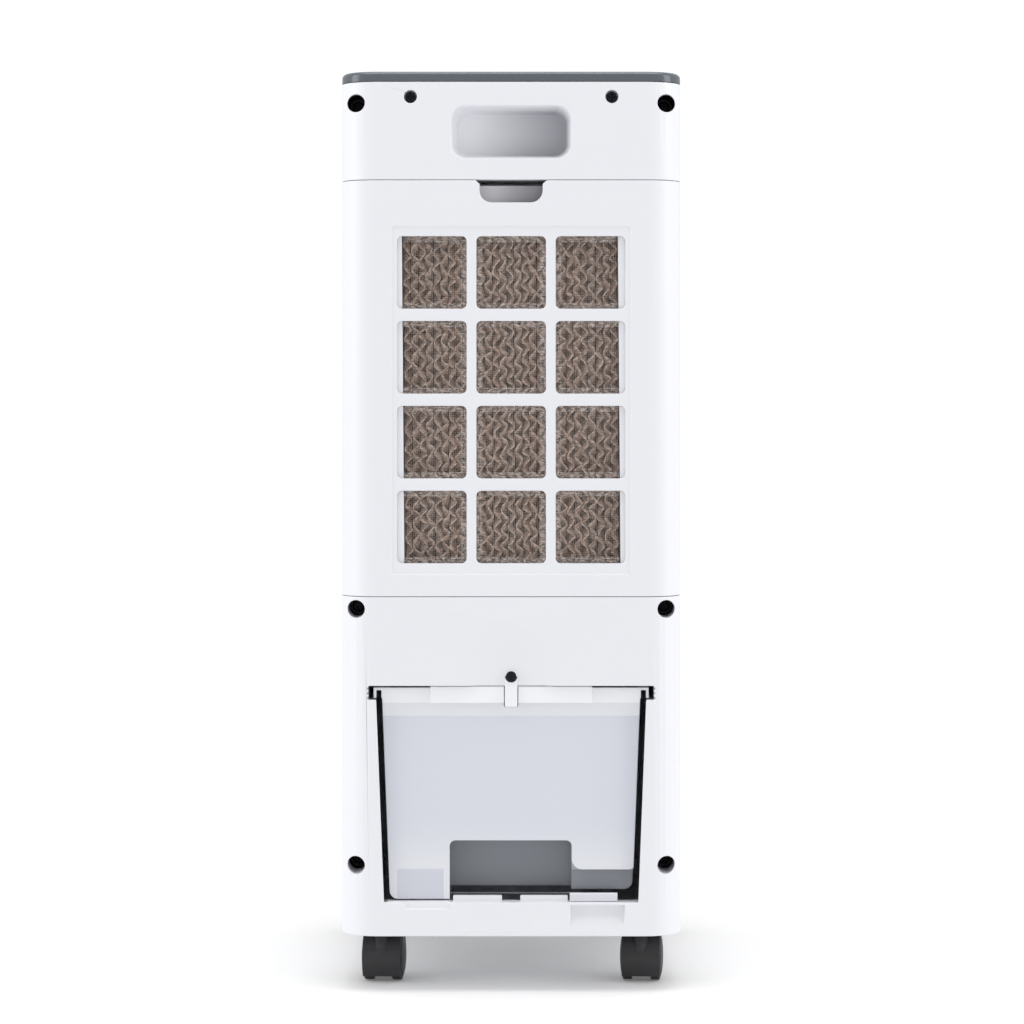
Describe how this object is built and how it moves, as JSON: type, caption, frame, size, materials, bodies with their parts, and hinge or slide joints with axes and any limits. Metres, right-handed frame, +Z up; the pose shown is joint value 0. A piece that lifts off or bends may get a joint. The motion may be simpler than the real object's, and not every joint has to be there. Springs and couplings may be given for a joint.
{
  "type": "evaporative cooler",
  "caption": "Floor-standing evaporative air cooler with a rear water tank, honeycomb pad and clip-on filter cover, front air outlet with louvres, on twin-wheel casters.",
  "frame": {"origin": "on the floor under the middle of the cabinet", "axes": "+Z up, -Y towards the air outlet at the front, +Y towards the filter cover and water tank at the rear, +X to the left seen from the rear"},
  "size_m": [0.243, 0.28, 0.654],
  "materials": {
    "white_shell": "satin moulded white ABS",
    "slate_top": "satin slate-grey ABS",
    "black_gloss": "glossy black acrylic sheet",
    "black_plastic": "matt black polypropylene",
    "dark_plastic": "matt dark grey nylon",
    "tank_plastic": "cloudy translucent polypropylene",
    "clear_plastic": "clear polycarbonate",
    "pad_paper": "brown resin-soaked corrugated paper",
    "net_nylon": "fine woven nylon net",
    "screw_steel": "black oxide steel",
    "motor_steel": "zinc plated steel",
    "board_green": "green glass-epoxy board",
    "hose_silicone": "cloudy silicone rubber"
  },
  "bodies": {
    "cabinet": {"rear_housing": "white_shell", "handle_cup": "white_shell", "pad_bulkhead": "white_shell", "handle_screw_left": "screw_steel", "handle_screw_right": "screw_steel", "front_housing": "white_shell", "level_window": "clear_plastic", "base_plate": "white_shell", "cord_bushing": "black_plastic", "cord_cover": "white_shell", "top_panel": "slate_top", "control_fascia": "black_gloss", "display_lens": "clear_plastic", "control_board": "board_green", "outlet_frame": "slate_top", "swing_motor": "motor_steel", "fan_casing": "white_shell", "fan_motor": "motor_steel", "fan_bearing": "black_plastic", "pad_carrier": "white_shell", "cooling_pad": "pad_paper", "water_distributor": "white_shell", "divider_tray": "white_shell", "latch_screw": "screw_steel", "pump": "black_plastic", "pump_hose": "hose_silicone"},
    "button_1": {"button_1": "slate_top"},
    "button_2": {"button_2": "slate_top"},
    "button_3": {"button_3": "slate_top"},
    "button_4": {"button_4": "slate_top"},
    "button_5": {"button_5": "slate_top"},
    "louvre_1": {"louvre_1": "slate_top"},
    "louvre_2": {"louvre_2": "slate_top"},
    "louvre_3": {"louvre_3": "slate_top"},
    "louvre_4": {"louvre_4": "slate_top"},
    "louvre_5": {"louvre_5": "slate_top"},
    "louvre_link": {"louvre_link": "dark_plastic"},
    "vane_1": {"vane_1": "dark_plastic"},
    "vane_2": {"vane_2": "dark_plastic"},
    "vane_3": {"vane_3": "dark_plastic"},
    "vane_4": {"vane_4": "dark_plastic"},
    "vane_5": {"vane_5": "dark_plastic"},
    "vane_link": {"vane_link": "dark_plastic"},
    "fan_wheel": {"fan_wheel": "dark_plastic"},
    "filter_cover": {"filter_cover": "white_shell", "dust_net": "net_nylon"},
    "water_tank": {"water_tank": "tank_plastic"},
    "tank_latch": {"tank_latch": "white_shell"},
    "caster_rear_left": {"caster_hood_rear_left": "dark_plastic"},
    "wheel_rear_left_a": {"wheel_rear_left_a": "black_plastic"},
    "wheel_rear_left_b": {"wheel_rear_left_b": "black_plastic"},
    "caster_rear_right": {"caster_hood_rear_right": "dark_plastic"},
    "wheel_rear_right_a": {"wheel_rear_right_a": "black_plastic"},
    "wheel_rear_right_b": {"wheel_rear_right_b": "black_plastic"},
    "caster_front_left": {"caster_hood_front_left": "dark_plastic"},
    "wheel_front_left_a": {"wheel_front_left_a": "black_plastic"},
    "wheel_front_left_b": {"wheel_front_left_b": "black_plastic"},
    "caster_front_right": {"caster_hood_front_right": "dark_plastic"},
    "wheel_front_right_a": {"wheel_front_right_a": "black_plastic"},
    "wheel_front_right_b": {"wheel_front_right_b": "black_plastic"}
  },
  "joints": [
    {"name": "button_1_press", "type": "slide", "parent": "cabinet", "child": "button_1", "axis": [0, 0, -1], "range_m": [0, 0.001], "stiffness_N_per_m": 1500, "springref_m": -0.0004},
    {"name": "button_2_press", "type": "slide", "parent": "cabinet", "child": "button_2", "axis": [0, 0, -1], "range_m": [0, 0.001], "stiffness_N_per_m": 1500, "springref_m": -0.0004},
    {"name": "button_3_press", "type": "slide", "parent": "cabinet", "child": "button_3", "axis": [0, 0, -1], "range_m": [0, 0.001], "stiffness_N_per_m": 1500, "springref_m": -0.0004},
    {"name": "button_4_press", "type": "slide", "parent": "cabinet", "child": "button_4", "axis": [0, 0, -1], "range_m": [0, 0.001], "stiffness_N_per_m": 1500, "springref_m": -0.0004},
    {"name": "button_5_press", "type": "slide", "parent": "cabinet", "child": "button_5", "axis": [0, 0, -1], "range_m": [0, 0.001], "stiffness_N_per_m": 1500, "springref_m": -0.0004},
    {"name": "louvre_1_tilt", "type": "hinge", "parent": "cabinet", "child": "louvre_1", "pos_m": [0, -0.121, 0.46972], "axis": [1, 0, 0], "range_deg": [-45, 25]},
    {"name": "louvre_2_tilt", "type": "hinge", "parent": "cabinet", "child": "louvre_2", "pos_m": [0, -0.121, 0.49836], "axis": [1, 0, 0], "range_deg": [-45, 25]},
    {"name": "louvre_3_tilt", "type": "hinge", "parent": "cabinet", "child": "louvre_3", "pos_m": [0, -0.121, 0.527], "axis": [1, 0, 0], "range_deg": [-45, 25]},
    {"name": "louvre_4_tilt", "type": "hinge", "parent": "cabinet", "child": "louvre_4", "pos_m": [0, -0.121, 0.55564], "axis": [1, 0, 0], "range_deg": [-45, 25]},
    {"name": "louvre_5_tilt", "type": "hinge", "parent": "cabinet", "child": "louvre_5", "pos_m": [0, -0.121, 0.58428], "axis": [1, 0, 0], "range_deg": [-45, 25]},
    {"name": "louvre_link_pivot", "type": "hinge", "parent": "louvre_1", "child": "louvre_link", "pos_m": [-0.0798, -0.11019, 0.47365], "axis": [1, 0, 0], "range_deg": [-25, 45]},
    {"name": "vane_1_swing", "type": "hinge", "parent": "cabinet", "child": "vane_1", "pos_m": [-0.066, -0.084, 0.53], "axis": [0, 0, 1], "range_deg": [-35, 35]},
    {"name": "vane_2_swing", "type": "hinge", "parent": "cabinet", "child": "vane_2", "pos_m": [-0.033, -0.084, 0.53], "axis": [0, 0, 1], "range_deg": [-35, 35]},
    {"name": "vane_3_swing", "type": "hinge", "parent": "cabinet", "child": "vane_3", "pos_m": [0, -0.084, 0.53], "axis": [0, 0, 1], "range_deg": [-35, 35]},
    {"name": "vane_4_swing", "type": "hinge", "parent": "cabinet", "child": "vane_4", "pos_m": [0.033, -0.084, 0.53], "axis": [0, 0, 1], "range_deg": [-35, 35]},
    {"name": "vane_5_swing", "type": "hinge", "parent": "cabinet", "child": "vane_5", "pos_m": [0.066, -0.084, 0.53], "axis": [0, 0, 1], "range_deg": [-35, 35]},
    {"name": "vane_link_pivot", "type": "hinge", "parent": "vane_3", "child": "vane_link", "pos_m": [0, -0.074, 0.459], "axis": [0, 0, 1], "range_deg": [-35, 35]},
    {"name": "fan_spin", "type": "hinge", "parent": "cabinet", "child": "fan_wheel", "pos_m": [0, 0.008, 0.515], "axis": [1, 0, 0], "continuous": true},
    {"name": "filter_cover_pull", "type": "slide", "parent": "cabinet", "child": "filter_cover", "axis": [0, 1, 0], "range_m": [0, 0.08]},
    {"name": "water_tank_pull", "type": "slide", "parent": "cabinet", "child": "water_tank", "axis": [0, 1, 0], "range_m": [0, 0.15]},
    {"name": "tank_latch_turn", "type": "hinge", "parent": "cabinet", "child": "tank_latch", "pos_m": [0, 0.1379, 0.2244], "axis": [0, 1, 0], "range_deg": [-90, 90]},
    {"name": "caster_rear_left_swivel", "type": "hinge", "parent": "cabinet", "child": "caster_rear_left", "pos_m": [0.0935, 0.102, 0.05], "axis": [0, 0, 1], "continuous": true},
    {"name": "wheel_rear_left_a_roll", "type": "hinge", "parent": "caster_rear_left", "child": "wheel_rear_left_a", "pos_m": [0.1023, 0.08668, 0.0175], "axis": [0.9962, -0.0872, 0], "continuous": true},
    {"name": "wheel_rear_left_b_roll", "type": "hinge", "parent": "caster_rear_left", "child": "wheel_rear_left_b", "pos_m": [0.08217, 0.08843, 0.0175], "axis": [0.9962, -0.0872, 0], "continuous": true},
    {"name": "caster_rear_right_swivel", "type": "hinge", "parent": "cabinet", "child": "caster_rear_right", "pos_m": [-0.0935, 0.102, 0.05], "axis": [0, 0, 1], "continuous": true},
    {"name": "wheel_rear_right_a_roll", "type": "hinge", "parent": "caster_rear_right", "child": "wheel_rear_right_a", "pos_m": [-0.0847, 0.08668, 0.0175], "axis": [0.9962, -0.0872, 0], "continuous": true},
    {"name": "wheel_rear_right_b_roll", "type": "hinge", "parent": "caster_rear_right", "child": "wheel_rear_right_b", "pos_m": [-0.10483, 0.08843, 0.0175], "axis": [0.9962, -0.0872, 0], "continuous": true},
    {"name": "caster_front_left_swivel", "type": "hinge", "parent": "cabinet", "child": "caster_front_left", "pos_m": [0.0935, -0.102, 0.05], "axis": [0, 0, 1], "continuous": true},
    {"name": "wheel_front_left_a_roll", "type": "hinge", "parent": "caster_front_left", "child": "wheel_front_left_a", "pos_m": [0.10681, -0.11363, 0.0175], "axis": [0.9703, 0.2419, 0], "continuous": true},
    {"name": "wheel_front_left_b_roll", "type": "hinge", "parent": "caster_front_left", "child": "wheel_front_left_b", "pos_m": [0.08721, -0.11851, 0.0175], "axis": [0.9703, 0.2419, 0], "continuous": true},
    {"name": "caster_front_right_swivel", "type": "hinge", "parent": "cabinet", "child": "caster_front_right", "pos_m": [-0.0935, -0.102, 0.05], "axis": [0, 0, 1], "continuous": true},
    {"name": "wheel_front_right_a_roll", "type": "hinge", "parent": "caster_front_right", "child": "wheel_front_right_a", "pos_m": [-0.08607, -0.11803, 0.0175], "axis": [0.9848, -0.1736, 0], "continuous": true},
    {"name": "wheel_front_right_b_roll", "type": "hinge", "parent": "caster_front_right", "child": "wheel_front_right_b", "pos_m": [-0.10596, -0.11453, 0.0175], "axis": [0.9848, -0.1736, 0], "continuous": true}
  ],
  "couplings": [
    {"joint": "louvre_2_tilt", "follows": "louvre_1_tilt", "ratio": 1},
    {"joint": "louvre_3_tilt", "follows": "louvre_1_tilt", "ratio": 1},
    {"joint": "louvre_4_tilt", "follows": "louvre_1_tilt", "ratio": 1},
    {"joint": "louvre_5_tilt", "follows": "louvre_1_tilt", "ratio": 1},
    {"joint": "louvre_link_pivot", "follows": "louvre_1_tilt", "ratio": -1},
    {"joint": "vane_1_swing", "follows": "vane_3_swing", "ratio": 1},
    {"joint": "vane_2_swing", "follows": "vane_3_swing", "ratio": 1},
    {"joint": "vane_4_swing", "follows": "vane_3_swing", "ratio": 1},
    {"joint": "vane_5_swing", "follows": "vane_3_swing", "ratio": 1},
    {"joint": "vane_link_pivot", "follows": "vane_3_swing", "ratio": -1}
  ]
}
